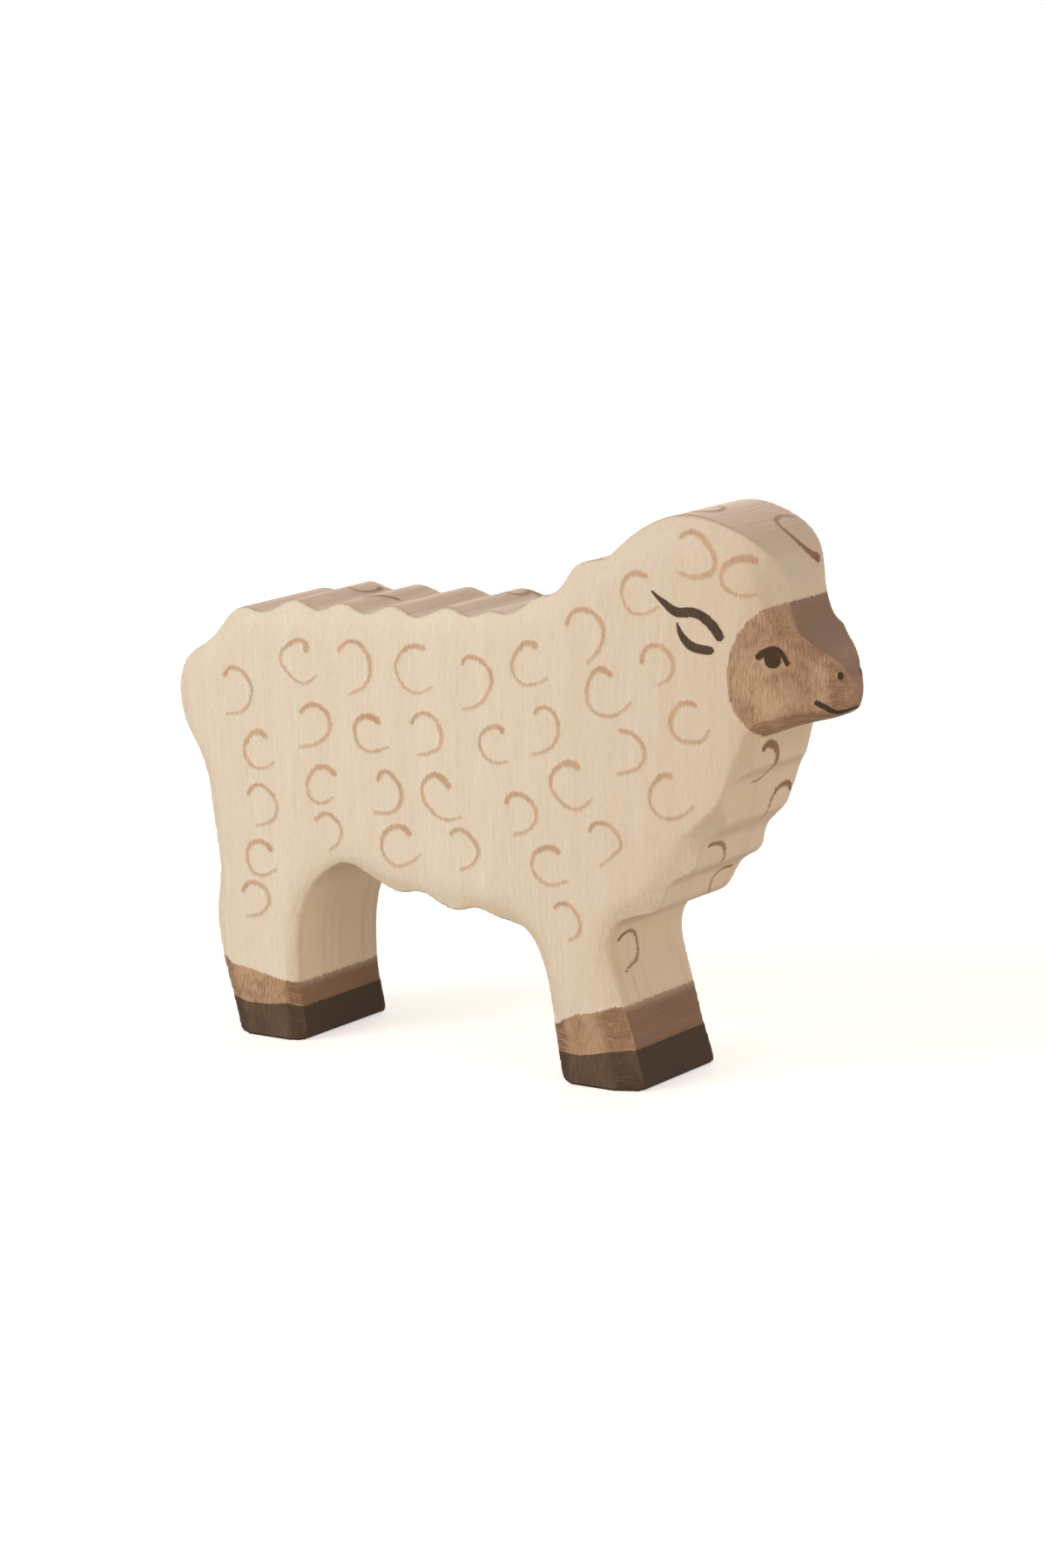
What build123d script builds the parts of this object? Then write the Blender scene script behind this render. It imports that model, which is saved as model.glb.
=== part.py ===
from build123d import *
import math
import os

# A standing sheep cut from one board of pale wood, then stained and painted by hand.
# +X points to the nose, Y runs through the board, Z is up, and z = 0 is the floor below the feet.
# Points of the outline are shares of the body's length and height, read off the side view.
# Thin coats of stain and paint lie on the wood, each of them a solid of its own.

body_length = 117.5
body_height = 90.0
board_thickness = 25.0
coat_thickness = 0.15

# The feet: rounded corners, and the paint ends just above the sole.
heel_radius = 1.7
toe_radius = 0.9
sole_margin = 0.5

# The sanded rim: how far each slope is carried outward from the flat side.
rim_reach = 6.5

# Brush strokes: the wool curls, the ear, the eyelid and the mouth.
curl_width = 6.0
curl_height = 6.6
curl_start_width = 1.15
curl_end_width = 0.45
ear_start_width = 0.3
ear_end_width = 1.2
lid_width = 0.7
pupil_width = 2.1
pupil_height = 3.3
nostril_width = 1.6
nostril_gap = 6.0
mouth_width = 0.5

# Outline from the rear heel over the rump, back and head to the throat.
back_shares = [
    (-0.401, 0.000), (-0.422, 0.097), (-0.437, 0.171), (-0.441, 0.222), (-0.434, 0.294), (-0.438, 0.337),
    (-0.447, 0.394), (-0.452, 0.439), (-0.462, 0.493), (-0.489, 0.553), (-0.500, 0.611), (-0.488, 0.667),
    (-0.450, 0.702), (-0.428, 0.732), (-0.411, 0.758), (-0.390, 0.769), (-0.358, 0.764), (-0.310, 0.790),
    (-0.270, 0.777), (-0.234, 0.793), (-0.192, 0.780), (-0.155, 0.797), (-0.111, 0.783), (-0.066, 0.805),
    (-0.028, 0.794), (0.004, 0.807), (0.028, 0.804), (0.056, 0.823), (0.076, 0.839), (0.098, 0.847),
    (0.113, 0.868), (0.127, 0.894), (0.146, 0.907), (0.180, 0.919), (0.197, 0.938), (0.229, 0.972),
    (0.263, 0.993), (0.297, 1.000), (0.334, 0.991), (0.371, 0.972), (0.396, 0.948), (0.410, 0.924),
    (0.420, 0.889), (0.424, 0.862), (0.427, 0.840), (0.438, 0.816), (0.458, 0.790), (0.477, 0.769),
    (0.492, 0.744), (0.500, 0.718), (0.497, 0.693), (0.486, 0.674), (0.454, 0.660), (0.391, 0.631),
]

# From the throat down the chest to the front toe.
chest_shares = [
    (0.391, 0.631), (0.387, 0.603), (0.381, 0.576), (0.367, 0.559), (0.357, 0.540), (0.353, 0.511),
    (0.351, 0.484), (0.341, 0.468), (0.328, 0.453), (0.318, 0.436), (0.314, 0.417), (0.308, 0.397),
    (0.294, 0.384), (0.278, 0.371), (0.268, 0.351), (0.259, 0.326), (0.243, 0.311), (0.216, 0.301),
    (0.197, 0.288), (0.186, 0.269), (0.182, 0.244), (0.192, 0.189), (0.211, 0.114), (0.238, 0.000),
]

# From the front heel along the belly to the rear toe.
belly_shares = [
    (0.118, 0.000), (0.106, 0.056), (0.098, 0.117), (0.089, 0.181), (0.075, 0.227), (0.056, 0.258),
    (0.028, 0.267), (0.004, 0.273), (-0.020, 0.283), (-0.054, 0.273), (-0.080, 0.283), (-0.108, 0.299),
    (-0.139, 0.292), (-0.171, 0.303), (-0.197, 0.319), (-0.226, 0.332), (-0.258, 0.314), (-0.286, 0.276),
    (-0.302, 0.228), (-0.308, 0.161), (-0.306, 0.094), (-0.292, 0.000),
]

# Edge of the flat side, once round the body from the rear heel, and below the floor at the feet.
# Each row also holds the rim's slope (depth for run) and its share of the rim's reach.
rim_shares = [
    (-0.389, 0.033, 0.5, 1), (-0.408, 0.111, 0.5, 1), (-0.420, 0.194, 0.5, 1), (-0.418, 0.267, 0.5, 1),
    (-0.423, 0.367, 0.45, 1), (-0.437, 0.472, 0.45, 1), (-0.467, 0.544, 0.45, 1), (-0.477, 0.606, 0.45, 1),
    (-0.459, 0.659, 0.4, 1), (-0.425, 0.698, 0.4, 1), (-0.392, 0.737, 0.42, 1), (-0.316, 0.749, 0.4, 1),
    (-0.214, 0.760, 0.42, 1), (-0.111, 0.772, 0.5, 1), (-0.009, 0.784, 0.5, 1), (0.067, 0.799, 0.3, 0.9),
    (0.123, 0.824, 0.3, 0.9), (0.169, 0.870, 0.3, 0.9), (0.220, 0.913, 0.32, 1), (0.276, 0.942, 0.43, 1),
    (0.327, 0.936, 0.52, 1), (0.365, 0.906, 0.8, 1), (0.387, 0.853, 1.55, 1), (0.404, 0.794, 1.5, 1),
    (0.440, 0.742, 1.15, 1), (0.459, 0.707, 1.1, 1), (0.427, 0.680, 1, 0.8), (0.384, 0.669, 1.2, 0.6),
    (0.370, 0.628, 1.6, 0.6), (0.359, 0.578, 1.5, 0.9), (0.346, 0.527, 1.25, 1), (0.317, 0.484, 1.1, 1),
    (0.283, 0.444, 0.55, 1), (0.239, 0.362, 0.54, 0.9), (0.203, 0.329, 0.5, 0.75), (0.176, 0.298, 0.48, 0.75),
    (0.163, 0.244, 0.48, 0.75), (0.164, 0.189, 0.46, 0.9), (0.169, 0.150, 0.45, 1), (0.191, 0.050, 0.5, 1),
    (0.195, -0.044, 0.5, 1), (0.165, -0.072, 0.5, 1), (0.140, -0.044, 0.5, 1), (0.129, 0.050, 0.45, 1),
    (0.117, 0.139, 0.45, 1), (0.098, 0.228, 0.43, 1), (0.059, 0.292, 0.4, 1), (-0.005, 0.313, 0.42, 1),
    (-0.060, 0.319, 0.32, 1), (-0.134, 0.324, 0.44, 1), (-0.180, 0.338, 0.45, 1), (-0.224, 0.351, 0.5, 0.9),
    (-0.276, 0.313, 0.6, 0.9), (-0.314, 0.244, 0.6, 0.9), (-0.323, 0.144, 0.65, 1), (-0.318, 0.056, 0.65, 1),
    (-0.324, -0.044, 0.5, 1), (-0.351, -0.072, 0.5, 1), (-0.379, -0.044, 0.5, 1),
]
rim_rows_per_face = 9

# The head narrows to the nose in plan: share of the length, half width as a share of the thickness.
taper_shares = [
    (0.310, 0.500), (0.348, 0.484), (0.382, 0.440), (0.408, 0.380), (0.433, 0.304),
    (0.458, 0.220), (0.476, 0.156), (0.490, 0.092), (0.500, 0.000),
]

# Flat cut along each lower edge of the jaw, through three points: length, thickness, height.
jaw_throat_share = (0.391, 0.330, 0.631)
jaw_chin_share = (0.454, 0.175, 0.660)
jaw_cheek_share = (0.418, 0.334, 0.665)
jaw_cut_reach = 4.0

# Edges of the stained and painted zones, seen from the side.
face_edge_shares = [
    (0.430, 0.863), (0.415, 0.858), (0.400, 0.850), (0.386, 0.833), (0.373, 0.810), (0.364, 0.782),
    (0.360, 0.756), (0.360, 0.732), (0.363, 0.701), (0.370, 0.676), (0.381, 0.651), (0.391, 0.631),
]
rear_band_shares = [
    (-0.469, 0.140), (-0.421, 0.134), (-0.407, 0.125), (-0.390, 0.122), (-0.359, 0.116),
    (-0.336, 0.109), (-0.300, 0.104), (-0.265, 0.098),
]
rear_hoof_shares = [
    (-0.469, 0.070), (-0.406, 0.063), (-0.384, 0.059), (-0.354, 0.060), (-0.321, 0.066),
    (-0.300, 0.061), (-0.265, 0.058),
]
front_band_shares = [
    (0.067, 0.083), (0.106, 0.100), (0.120, 0.112), (0.140, 0.123), (0.173, 0.133), (0.189, 0.140),
    (0.203, 0.142), (0.263, 0.140),
]
front_hoof_shares = [
    (0.067, 0.054), (0.111, 0.053), (0.127, 0.051), (0.146, 0.053), (0.168, 0.059), (0.189, 0.066),
    (0.226, 0.068), (0.263, 0.064),
]

# Middle lines of the strokes on each side of the head.
upper_ear_shares = [
    (0.253, 0.868), (0.270, 0.849), (0.287, 0.838), (0.317, 0.841), (0.335, 0.827), (0.349, 0.808),
    (0.354, 0.796),
]
lower_ear_shares = [(0.290, 0.821), (0.299, 0.798), (0.312, 0.786), (0.329, 0.781), (0.344, 0.780)]
lid_shares = [
    (0.396, 0.764), (0.401, 0.780), (0.409, 0.788), (0.418, 0.788), (0.426, 0.779), (0.431, 0.762),
]
mouth_shares = [(0.456, 0.699), (0.468, 0.687), (0.481, 0.681), (0.502, 0.680)]
pupil_length_share = 0.414
nostril_height_share = 0.739

# Middles of the wool curls on each flat side, as (length, height). The first list opens to the rear.
rear_opening_shares = [
    (-0.40, 0.62), (-0.21, 0.68), (-0.01, 0.68), (0.15, 0.78), (-0.27, 0.57), (-0.09, 0.58), (0.09, 0.61),
    (-0.36, 0.42), (-0.16, 0.47), (0.06, 0.46), (-0.25, 0.39), (-0.37, 0.25), (-0.03, 0.39), (0.13, 0.28),
    (0.26, 0.75), (0.22, 0.59), (0.18, 0.43),
]
nose_opening_shares = [
    (-0.30, 0.68), (-0.11, 0.69), (0.07, 0.73), (-0.18, 0.57), (-0.36, 0.52), (0.01, 0.58), (-0.26, 0.47),
    (-0.07, 0.47), (0.13, 0.52), (-0.36, 0.32), (-0.13, 0.38), (0.10, 0.38), (0.19, 0.69), (0.24, 0.86),
    (0.28, 0.52),
]

# Curls that run over the rim or the taper of the head, as (length, height, opening).
head_side_curl_shares = [(0.32, 0.935, -1), (0.375, 0.90, 1), (0.31, 0.65, 1)]

# Curls on the sawn edge: back and crown from above as (length, thickness, opening), chest and
# front leg from the front as (thickness, height, opening).
back_curl_shares = [
    (-0.36, 0.18, 1), (-0.28, -0.20, -1), (-0.20, 0.20, 1), (-0.13, -0.16, -1), (-0.05, 0.22, 1),
    (0.02, -0.14, -1),
]
crown_curl_shares = [(0.29, -0.12, 1), (0.375, 0.20, -1)]
chest_curl_shares = [
    (-0.12, 0.58, -1), (0.22, 0.49, 1), (-0.18, 0.41, -1), (0.20, 0.34, 1), (-0.22, 0.225, -1),
]

# Strokes are cut out of the coat from above, from the front or from one side; how far each cut goes.
above_start_share = 0.72
front_start_share = 0.13
side_depth_share = 0.9

curl_turn_share = 0.68
curl_points = 9


def side_point(share):
    return Vector(share[0] * body_length, 0, share[1] * body_height)


def outward(before, after):
    along = (after - before).normalized()
    return Vector(-along.Z, 0, along.X)


def grown_points(shares, grow):
    # The run's points moved outward; an end on the floor slides along it.
    points = [side_point(share) for share in shares]
    moved = []
    for i, point in enumerate(points):
        before = points[max(i - 1, 0)]
        after = points[min(i + 1, len(points) - 1)]
        normal = outward(before, after)
        at_floor = i in (0, len(points) - 1) and point.Z == 0
        step = Vector(grow / normal.X, 0, 0) if at_floor else normal * grow
        moved.append(point + step)
    return moved


def foot_corner(above, corner, radius, inward):
    # The rounded corner between the side of a leg and the sole, as leg, middle and sole points.
    up = (above - corner).normalized()
    half_angle = math.radians(up.get_angle(inward)) / 2
    reach = radius / math.tan(half_angle)
    middle_line = (up + inward).normalized()
    crown = corner + middle_line * (radius / math.sin(half_angle) - radius)
    return corner + up * reach, crown, corner + inward * reach


def run_edge(points):
    ends = [points[1] - points[0], points[-1] - points[-2]]
    return Edge.make_spline(points, tangents=ends)


def outline_face(grow):
    back = grown_points(back_shares, grow)
    chest = grown_points(chest_shares, grow)
    belly = grown_points(belly_shares, grow)

    # Both runs meet at the throat, moved by the same step.
    jaw_normal = outward(back[-2], back[-1])
    neck_normal = outward(chest[0], chest[1])
    throat = side_point(back_shares[-1])
    step = (jaw_normal + neck_normal) * (grow / (1 + jaw_normal.dot(neck_normal)))
    back[-1] = throat + step
    chest[0] = throat + step

    forward = Vector(1, 0, 0)
    rear_heel = foot_corner(back[1], back[0], heel_radius, forward)
    front_toe = foot_corner(chest[-2], chest[-1], toe_radius, -forward)
    front_heel = foot_corner(belly[1], belly[0], heel_radius, forward)
    rear_toe = foot_corner(belly[-2], belly[-1], toe_radius, -forward)
    back[0] = rear_heel[0]
    chest[-1] = front_toe[0]
    belly[0] = front_heel[0]
    belly[-1] = rear_toe[0]

    edges = [
        run_edge(back),
        run_edge(chest),
        Edge.make_three_point_arc(*front_toe),
        Edge.make_line(front_toe[2], front_heel[2]),
        Edge.make_three_point_arc(*front_heel),
        run_edge(belly),
        Edge.make_three_point_arc(*rear_toe),
        Edge.make_line(rear_toe[2], rear_heel[2]),
        Edge.make_three_point_arc(*rear_heel),
    ]
    return Face(Wire(edges))


def rim_body(grow):
    # The space between both flat sides and the sanded slopes that fall away from them.
    points = [side_point(row) for row in rim_shares]
    count = len(points)
    lengths = [0.0]
    for i in range(count):
        lengths.append(lengths[-1] + (points[(i + 1) % count] - points[i]).length)

    flat_edge = []
    slope_end = []
    for i, row in enumerate(rim_shares):
        slope = row[2]
        reach = row[3] * rim_reach
        normal = outward(points[i - 1], points[(i + 1) % count])
        shift = grow * (math.hypot(1, slope) - 1) / slope
        flat_height = board_thickness / 2 + grow
        flat_edge.append(points[i] + normal * shift + Vector(0, flat_height, 0))
        slope_end.append(points[i] + normal * (shift + reach) + Vector(0, flat_height - slope * reach, 0))

    breaks = list(range(0, count, rim_rows_per_face)) + [count]

    def closed_rail(rail, side):
        placed = [Vector(p.X, side * p.Y, p.Z) for p in rail]
        speeds = []
        for i in range(count):
            span = lengths[i + 1] - lengths[i] + lengths[i or count] - lengths[(i or count) - 1]
            speeds.append((placed[(i + 1) % count] - placed[i - 1]) * (1 / span))
        pieces = []
        for first, last in zip(breaks, breaks[1:]):
            run = [placed[i % count] for i in range(first, last + 1)]
            spacing = [lengths[i] - lengths[first] for i in range(first, last + 1)]
            ends = [speeds[first], speeds[last % count]]
            pieces.append(Edge.make_spline(run, tangents=ends, parameters=spacing, scale=False))
        return pieces

    rails = [closed_rail(flat_edge, -1), closed_rail(slope_end, -1)]
    rails += [closed_rail(slope_end, 1), closed_rail(flat_edge, 1)]
    faces = [Face(Wire(rails[0])), Face(Wire(rails[-1]))]
    for near_rail, far_rail in zip(rails, rails[1:]):
        for near_edge, far_edge in zip(near_rail, far_rail):
            faces.append(Face.make_surface_from_curves(near_edge, far_edge))
    return Solid(Shell(faces))


def taper_body(grow):
    # The plan of the board with its nose-shaped end, standing taller than the body.
    points = [Vector(x * body_length, y * board_thickness, 0) for x, y in taper_shares]
    inner = [after - before for before, after in zip(points, points[2:])]
    directions = [Vector(1, 0, 0)] + inner + [Vector(0, -1, 0)]
    far = []
    for point, direction in zip(points, directions):
        along = direction.normalized()
        far.append(point + Vector(-along.Y, along.X, 0) * grow)
    near = [Vector(point.X, -point.Y, 0) for point in far]
    rear = Vector(-body_length, 0, 0)
    across = Vector(0, far[0].Y, 0)
    edges = [
        Edge.make_spline(far, tangents=[(1, 0, 0), (0, -1, 0)]),
        Edge.make_spline(near, tangents=[(1, 0, 0), (0, 1, 0)]),
        Edge.make_line(far[0], rear + across),
        Edge.make_line(rear + across, rear - across),
        Edge.make_line(rear - across, near[0]),
    ]
    plan = Face(Wire(edges)).moved(Location((0, 0, -body_height)))
    return Solid.extrude(plan, Vector(0, 0, 3 * body_height))


def jaw_cutter(grow, side):
    # A block whose flat face is the bevel along one lower edge of the jaw.
    corners = []
    for x, y, z in (jaw_throat_share, jaw_chin_share, jaw_cheek_share):
        corners.append(Vector(x * body_length, side * y * board_thickness, z * body_height))
    throat, chin, cheek = corners
    along = (chin - throat).normalized()
    normal = along.cross(cheek - throat).normalized()
    if normal.Y * side < 0:
        normal = -normal
    across = normal.cross(along) * jaw_cut_reach
    start = throat + normal * grow
    end = chin + along * jaw_cut_reach + normal * grow
    base = Face(Wire.make_polygon([start - across, end - across, end + across, start + across], close=True))
    return Solid.extrude(base, normal * jaw_cut_reach)


def board(grow):
    blank = outline_face(grow).moved(Location((0, -board_thickness, 0)))
    solid = Solid.extrude(blank, Vector(0, 2 * board_thickness, 0))
    solid = solid & rim_body(grow)
    solid = solid & taper_body(grow)
    for side in (-1, 1):
        solid = solid - jaw_cutter(grow, side)
    return solid


def stroke_edges(points, start_width, end_width, place):
    # Both sides and both ends of a brush stroke that changes its width evenly along its middle line.
    left = []
    right = []
    for i, point in enumerate(points):
        before = points[max(i - 1, 0)]
        after = points[min(i + 1, len(points) - 1)]
        length = math.dist(before, after)
        across = ((before[1] - after[1]) / length, (after[0] - before[0]) / length)
        half = (start_width + (end_width - start_width) * i / (len(points) - 1)) / 2
        left.append(place(point[0] + across[0] * half, point[1] + across[1] * half))
        right.append(place(point[0] - across[0] * half, point[1] - across[1] * half))
    return [
        Edge.make_spline(left),
        Edge.make_line(left[-1], right[-1]),
        Edge.make_spline(right),
        Edge.make_line(right[0], left[0]),
    ]


def on_side(u, v):
    return Vector(u, 0, v)


def on_top(u, v):
    return Vector(u, v, 0)


def on_front(u, v):
    return Vector(0, u, v)


def prism(edges, start, run):
    face = Face(Wire(edges)).moved(Location(start))
    return Solid.extrude(face, run)


def through_board(edges):
    return prism(edges, (0, -board_thickness, 0), Vector(0, 2 * board_thickness, 0))


def one_side(edges, side):
    depth = side_depth_share * board_thickness
    return prism(edges, (0, side * board_thickness, 0), Vector(0, -side * depth, 0))


def stroke_points(shares):
    return [(x * body_length, z * body_height) for x, z in shares]


def side_stroke(shares, start_width, end_width, side):
    return one_side(stroke_edges(stroke_points(shares), start_width, end_width, on_side), side)


def curl_edges(middle, opening, place):
    # A hook of paint round most of an ellipse: opening 1 leaves the +u side free, -1 the -u side.
    points = []
    for i in range(curl_points):
        turn = 2 * math.pi * curl_turn_share
        angle = turn * (0.5 - i / (curl_points - 1))
        u = middle[0] - opening * math.cos(angle) * curl_width / 2
        v = middle[1] + math.sin(angle) * curl_height / 2
        points.append((u, v))
    return stroke_edges(points, curl_start_width, curl_end_width, place)


def ellipse_edges(middle, width, height, place, steps=12):
    points = []
    for i in range(steps):
        angle = 2 * math.pi * i / steps
        across = math.cos(angle) * width / 2
        points.append(place(middle[0] + across, middle[1] + math.sin(angle) * height / 2))
    return [Edge.make_spline(points, periodic=True)]


def between(top_shares, bottom):
    # The zone between two lines seen from the side; both run from the rear to the front.
    top = [side_point(share) for share in top_shares]
    edges = [
        Edge.make_spline(top),
        Edge.make_line(top[-1], bottom[-1]),
        Edge.make_spline(bottom) if len(bottom) > 2 else Edge.make_line(bottom[0], bottom[1]),
        Edge.make_line(bottom[0], top[0]),
    ]
    return through_board(edges)


def coat(prisms):
    # The part of the coat layer that lies inside any of the prisms.
    pieces = []
    for cutter in prisms:
        pieces += (skin & cutter).solids()
    return Compound(pieces)


def flank_curls(side):
    # These lie wholly on the flat side, so they are drawn up from it directly.
    curls = []
    for shares, opening in ((rear_opening_shares, -1), (nose_opening_shares, 1)):
        for middle in stroke_points(shares):
            edges = curl_edges(middle, opening, on_side)
            start = (0, side * board_thickness / 2, 0)
            curls.append(prism(edges, start, Vector(0, side * coat_thickness, 0)))
    return Compound(curls)


def curls_from_above(places):
    cutters = []
    for x, y, opening in places:
        edges = curl_edges((x * body_length, y * board_thickness), opening, on_top)
        cutters.append(prism(edges, (0, 0, above_start_share * body_height), Vector(0, 0, body_height)))
    return cutters


def curls_from_front(places):
    cutters = []
    for y, z, opening in places:
        edges = curl_edges((y * board_thickness, z * body_height), opening, on_front)
        cutters.append(prism(edges, (front_start_share * body_length, 0, 0), Vector(body_length, 0, 0)))
    return cutters


def head_side_curls(side):
    cutters = []
    for x, z, opening in head_side_curl_shares:
        edges = curl_edges((x * body_length, z * body_height), opening, on_side)
        cutters.append(one_side(edges, side))
    return cutters


def eye_prism(side):
    # The pupil hangs from the top of the lid.
    lid_top = max(z for x, z in lid_shares) * body_height
    middle = (pupil_length_share * body_length, lid_top - pupil_height / 2)
    pupil = one_side(ellipse_edges(middle, pupil_width, pupil_height, on_side), side)
    return side_stroke(lid_shares, lid_width, lid_width, side) + pupil


def nostril_prism(side):
    middle = (side * nostril_gap / 2, nostril_height_share * body_height)
    ring = ellipse_edges(middle, nostril_width, nostril_width, on_front)
    return prism(ring, (front_start_share * body_length, 0, 0), Vector(body_length, 0, 0))


def ear_prisms(side):
    cutters = []
    for shares in (upper_ear_shares, lower_ear_shares):
        cutters.append(side_stroke(shares, ear_start_width, ear_end_width, side))
    return cutters


body = board(0)
skin = board(coat_thickness) - body

# Stain on the face, with the eyes, nostrils and mouth left free for their own paint.
face_edge = [side_point(share) for share in face_edge_shares]
face_front = Vector(body_length, 0, face_edge[0].Z)
face_below = Vector(body_length, 0, face_edge[-1].Z - board_thickness)
face_throat = Vector(face_edge[-1].X, 0, face_edge[-1].Z - board_thickness)
face_zone = through_board([
    Edge.make_spline(face_edge),
    Edge.make_line(face_edge[-1], face_throat),
    Edge.make_line(face_throat, face_below),
    Edge.make_line(face_below, face_front),
    Edge.make_line(face_front, face_edge[0]),
])
eyes = {side: eye_prism(side) for side in (-1, 1)}
nostrils = [nostril_prism(side) for side in (-1, 1)]
mouth = through_board(stroke_edges(stroke_points(mouth_shares), mouth_width, mouth_width, on_side))
for paint in [eyes[-1], eyes[1], mouth] + nostrils:
    face_zone = face_zone - paint

# Around each leg the light band ends where the dark hoof paint begins.
rear_middle = [side_point(share) for share in rear_hoof_shares]
front_middle = [side_point(share) for share in front_hoof_shares]
sole_line = Vector(0, 0, sole_margin)
rear_sole = [Vector(rear_middle[0].X, 0, 0) + sole_line, Vector(rear_middle[-1].X, 0, 0) + sole_line]
front_sole = [Vector(front_middle[0].X, 0, 0) + sole_line, Vector(front_middle[-1].X, 0, 0) + sole_line]

coats = {
    "face_stain": [face_zone],
    "rear_leg_stain": [between(rear_band_shares, rear_middle)],
    "front_leg_stain": [between(front_band_shares, front_middle)],
    "rear_hoof_paint": [between(rear_hoof_shares, rear_sole)],
    "front_hoof_paint": [between(front_hoof_shares, front_sole)],
    "right_ear_strokes": ear_prisms(-1),
    "left_ear_strokes": ear_prisms(1),
    "right_eye": [eyes[-1]],
    "left_eye": [eyes[1]],
    "nostrils": nostrils,
    "mouth": [mouth],
    "back_curls": curls_from_above(back_curl_shares),
    "head_curls": head_side_curls(-1) + head_side_curls(1) + curls_from_above(crown_curl_shares),
    "chest_curls": curls_from_front(chest_curl_shares),
}

os.makedirs("parts", exist_ok=True)
export_step(body, "parts/wood_body.step")
export_step(flank_curls(-1), "parts/right_flank_curls.step")
export_step(flank_curls(1), "parts/left_flank_curls.step")
for name, prisms in coats.items():
    export_step(coat(prisms), f"parts/{name}.step")
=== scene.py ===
import math
import random

import bmesh
import bpy
import numpy as np
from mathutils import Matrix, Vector
from mathutils.bvhtree import BVHTree


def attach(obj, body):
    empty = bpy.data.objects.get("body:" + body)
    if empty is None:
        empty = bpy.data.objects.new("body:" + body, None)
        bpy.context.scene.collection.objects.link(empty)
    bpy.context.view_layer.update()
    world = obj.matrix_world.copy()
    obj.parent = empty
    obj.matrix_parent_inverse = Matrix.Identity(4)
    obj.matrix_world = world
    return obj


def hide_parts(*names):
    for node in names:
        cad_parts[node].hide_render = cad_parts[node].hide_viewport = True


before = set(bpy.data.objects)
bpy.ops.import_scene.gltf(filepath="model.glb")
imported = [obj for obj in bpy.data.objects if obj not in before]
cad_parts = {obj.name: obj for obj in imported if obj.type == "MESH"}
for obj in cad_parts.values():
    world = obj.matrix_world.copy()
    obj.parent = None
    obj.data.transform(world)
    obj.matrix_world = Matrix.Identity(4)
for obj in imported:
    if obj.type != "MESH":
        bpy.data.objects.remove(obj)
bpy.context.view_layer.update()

# A sheep cut from one board of maple. The wood is remeshed with softly sanded edges, the stained
# zones are thin films over it, and every brush stroke is a film of its own laid on the wood.
# Metres, +X to the nose, -Y is the side that faces the camera, z = 0 is the table.
mm = 0.001

# The camera stands where the photograph was taken from
view = {
    "lens": 120.0,               # mm
    "sensor": 36.0,              # mm
    "distance": 0.8179,          # metres from the target
    "azimuth": 32.053,           # degrees round toward the nose
    "elevation": 11.302,         # degrees up
    "target": (-0.0011, 0.0, 0.04339),
    "clip": (0.01, 50.0),        # metres; the nearest and the farthest that it sees
    "imageSize": (1200, 1800),   # pixels that the strokes below are placed in
}


def makeCamera(settings):
    az = math.radians(settings["azimuth"])
    el = math.radians(settings["elevation"])
    back = Vector((math.sin(az) * math.cos(el), -math.cos(az) * math.cos(el), math.sin(el)))
    data = bpy.data.cameras.new("photoCamera")
    data.lens = settings["lens"]
    data.sensor_width = settings["sensor"]
    data.clip_start, data.clip_end = settings["clip"]
    camera = bpy.data.objects.new("photoCamera", data)
    camera.location = Vector(settings["target"]) + back * settings["distance"]
    camera.rotation_euler = back.to_track_quat("Z", "Y").to_euler()
    bpy.context.scene.collection.objects.link(camera)
    bpy.context.scene.camera = camera
    bpy.context.view_layer.update()
    return camera


camera = makeCamera(view)
print("camera ready")


def hexColor(text):
    # sRGB hex to the linear colour that a shader wants
    parts = [int(text[i:i + 2], 16) / 255 for i in (1, 3, 5)]
    return [c / 12.92 if c <= 0.04045 else ((c + 0.055) / 1.055) ** 2.4 for c in parts] + [1.0]


def addNode(tree, kind, *inputs, output=0, **settings):
    # one node with its settings, given back as one of its outputs; its inputs come in order or in
    # a dictionary, and each is a value or the output of another node to link from
    node = tree.nodes.new(kind)
    for name, value in settings.items():
        setattr(node, name, value)
    if not inputs or not isinstance(inputs[0], dict):
        inputs = [dict(enumerate(inputs))]
    for name, value in inputs[0].items():
        if isinstance(value, bpy.types.NodeSocket):
            tree.links.new(value, node.inputs[name])
        else:
            node.inputs[name].default_value = value
    return node.outputs[output] if node.outputs else node


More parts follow.
